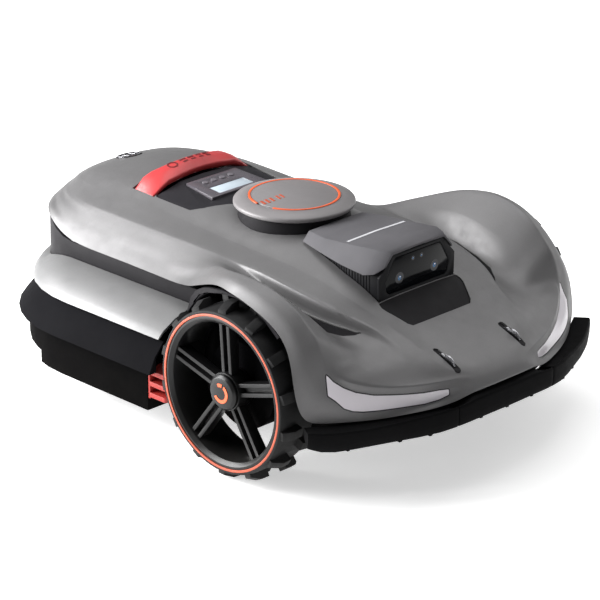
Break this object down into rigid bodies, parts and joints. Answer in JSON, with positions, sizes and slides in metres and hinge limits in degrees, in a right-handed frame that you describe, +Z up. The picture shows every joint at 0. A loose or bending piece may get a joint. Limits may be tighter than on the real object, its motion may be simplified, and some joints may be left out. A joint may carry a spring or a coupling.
{
  "type": "robotic lawn mower",
  "caption": "Low robotic lawn mower with lugged drive wheels, rear casters, lifting blade deck, sprung bumper, camera, antenna disc, stop bar and keypad.",
  "frame": {"origin": "on the ground, under the middle of the overall length and width", "axes": "+X forward, +Y to the mower's left, +Z up"},
  "size_m": [0.794, 0.5704, 0.2942],
  "materials": {
    "cover_silver": "satin silver-grey paint on moulding",
    "fairing_silver": "satin",
    "dark_trim": "fine grain",
    "skirt_grey": "fine grain",
    "chassis_black": "matte",
    "rubber_black": "matte",
    "tyre_black": "matte",
    "rim_black": "satin",
    "accent_orange": "satin",
    "accent_red": "satin",
    "lamp_lens": "frosted pale lens",
    "panel_grey": "fine grain",
    "display": "gloss",
    "camera_window": "dark gloss",
    "hood_grey": "fine grain",
    "disc_grey": "satin",
    "steel": "brushed",
    "motor_metal": "satin",
    "button_grey": "satin",
    "button_green": "satin"
  },
  "bodies": {
    "chassis": {"chassis_tub": "chassis_black", "wheel_wells": "chassis_black", "side_band": "dark_trim", "lower_fairing": "fairing_silver", "rear_skirt": "skirt_grey", "top_cover": "cover_silver", "vent_inserts": "dark_trim", "headlights": "lamp_lens", "console_panel": "panel_grey", "keypad_panel": "panel_grey", "display_window": "display", "rain_sensor": "dark_trim", "rain_electrodes": "steel", "contact_holders": "dark_trim", "contact_blades": "steel", "antenna_neck": "dark_trim", "antenna_disc": "disc_grey", "antenna_ring": "accent_orange", "camera_housing": "dark_trim", "camera_hood": "hood_grey", "camera_bezel": "panel_grey", "camera_glass": "camera_window", "camera_lenses": "camera_window", "camera_apron": "dark_trim", "wheel_scrapers": "accent_red", "drive_motors": "motor_metal", "battery_pack": "panel_grey", "control_unit": "panel_grey", "lift_motor": "motor_metal", "chassis_screws": "steel", "deck_guide_rods": "steel"},
    "bumper": {"bumper_center": "rubber_black", "bumper_left": "rubber_black", "bumper_right": "rubber_black"},
    "drive_wheel_left": {"tyre_left": "tyre_black", "rim_left": "rim_black", "rim_ring_left": "accent_orange", "hub_cap_left": "rim_black"},
    "caster_fork_left": {"caster_fork_left": "dark_trim"},
    "caster_wheel_left": {"caster_wheel_left": "rubber_black"},
    "drive_wheel_right": {"tyre_right": "tyre_black", "rim_right": "rim_black", "rim_ring_right": "accent_orange", "hub_cap_right": "rim_black"},
    "caster_fork_right": {"caster_fork_right": "dark_trim"},
    "caster_wheel_right": {"caster_wheel_right": "rubber_black"},
    "deck": {"deck_housing": "chassis_black", "blade_motor": "motor_metal"},
    "lift_screw": {"lift_screw": "steel"},
    "blade_disc": {"blade_disc": "motor_metal", "blade_screws": "steel"},
    "blade_1": {"blade_1": "steel"},
    "blade_2": {"blade_2": "steel"},
    "blade_3": {"blade_3": "steel"},
    "skid_plate": {"skid_plate": "dark_trim"},
    "stop_button": {"stop_button": "accent_red"},
    "button_power": {"button_power": "accent_red"},
    "button_home": {"button_home": "button_grey"},
    "button_start": {"button_start": "button_green"},
    "button_ok": {"button_ok": "button_grey"}
  },
  "joints": [
    {"name": "wheel_spin_right", "type": "hinge", "parent": "chassis", "child": "drive_wheel_right", "pos_m": [0.144, -0.25, 0.124], "axis": [0, 1, 0], "continuous": true},
    {"name": "wheel_spin_left", "type": "hinge", "parent": "chassis", "child": "drive_wheel_left", "pos_m": [0.144, 0.25, 0.124], "axis": [0, 1, 0], "continuous": true},
    {"name": "caster_swivel_right", "type": "hinge", "parent": "chassis", "child": "caster_fork_right", "pos_m": [-0.228, -0.12, 0.1], "axis": [0, 0, 1], "continuous": true},
    {"name": "caster_spin_right", "type": "hinge", "parent": "caster_fork_right", "child": "caster_wheel_right", "pos_m": [-0.25, -0.12, 0.04], "axis": [0, 1, 0], "continuous": true},
    {"name": "caster_swivel_left", "type": "hinge", "parent": "chassis", "child": "caster_fork_left", "pos_m": [-0.228, 0.12, 0.1], "axis": [0, 0, 1], "continuous": true},
    {"name": "caster_spin_left", "type": "hinge", "parent": "caster_fork_left", "child": "caster_wheel_left", "pos_m": [-0.25, 0.12, 0.04], "axis": [0, 1, 0], "continuous": true},
    {"name": "deck_lift", "type": "slide", "parent": "chassis", "child": "deck", "axis": [0, 0, 1], "range_m": [0, 0.02]},
    {"name": "lift_screw_spin", "type": "hinge", "parent": "chassis", "child": "lift_screw", "pos_m": [-0.068, 0, 0.1], "axis": [0, 0, 1], "range_deg": [0, 900.1]},
    {"name": "blade_disc_spin", "type": "hinge", "parent": "deck", "child": "blade_disc", "pos_m": [0.082, 0, 0.0525], "axis": [0, 0, 1], "continuous": true},
    {"name": "blade_pivot_1", "type": "hinge", "parent": "blade_disc", "child": "blade_1", "pos_m": [0.082, 0.1, 0.0494], "axis": [0, 0, 1], "continuous": true},
    {"name": "blade_pivot_2", "type": "hinge", "parent": "blade_disc", "child": "blade_2", "pos_m": [-0.0046, -0.05, 0.0494], "axis": [0, 0, 1], "continuous": true},
    {"name": "blade_pivot_3", "type": "hinge", "parent": "blade_disc", "child": "blade_3", "pos_m": [0.1686, -0.05, 0.0494], "axis": [0, 0, 1], "continuous": true},
    {"name": "skid_plate_spin", "type": "hinge", "parent": "blade_disc", "child": "skid_plate", "pos_m": [0.082, 0, 0.042], "axis": [0, 0, 1], "continuous": true},
    {"name": "bumper_press", "type": "slide", "parent": "chassis", "child": "bumper", "axis": [1, 0, 0], "range_m": [-0.006, 0], "stiffness_N_per_m": 2500},
    {"name": "stop_press", "type": "slide", "parent": "chassis", "child": "stop_button", "axis": [0, 0, -1], "range_m": [0, 0.004], "stiffness_N_per_m": 3000},
    {"name": "button_power_press", "type": "slide", "parent": "chassis", "child": "button_power", "axis": [-0.0811, 0, -0.9967], "range_m": [0, 0.001], "stiffness_N_per_m": 800},
    {"name": "button_home_press", "type": "slide", "parent": "chassis", "child": "button_home", "axis": [-0.0811, 0, -0.9967], "range_m": [0, 0.001], "stiffness_N_per_m": 800},
    {"name": "button_start_press", "type": "slide", "parent": "chassis", "child": "button_start", "axis": [-0.0811, 0, -0.9967], "range_m": [0, 0.001], "stiffness_N_per_m": 800},
    {"name": "button_ok_press", "type": "slide", "parent": "chassis", "child": "button_ok", "axis": [-0.0811, 0, -0.9967], "range_m": [0, 0.001], "stiffness_N_per_m": 800}
  ],
  "couplings": [
    {"joint": "lift_screw_spin", "follows": "deck_lift", "rad_per_m": 785.4}
  ]
}
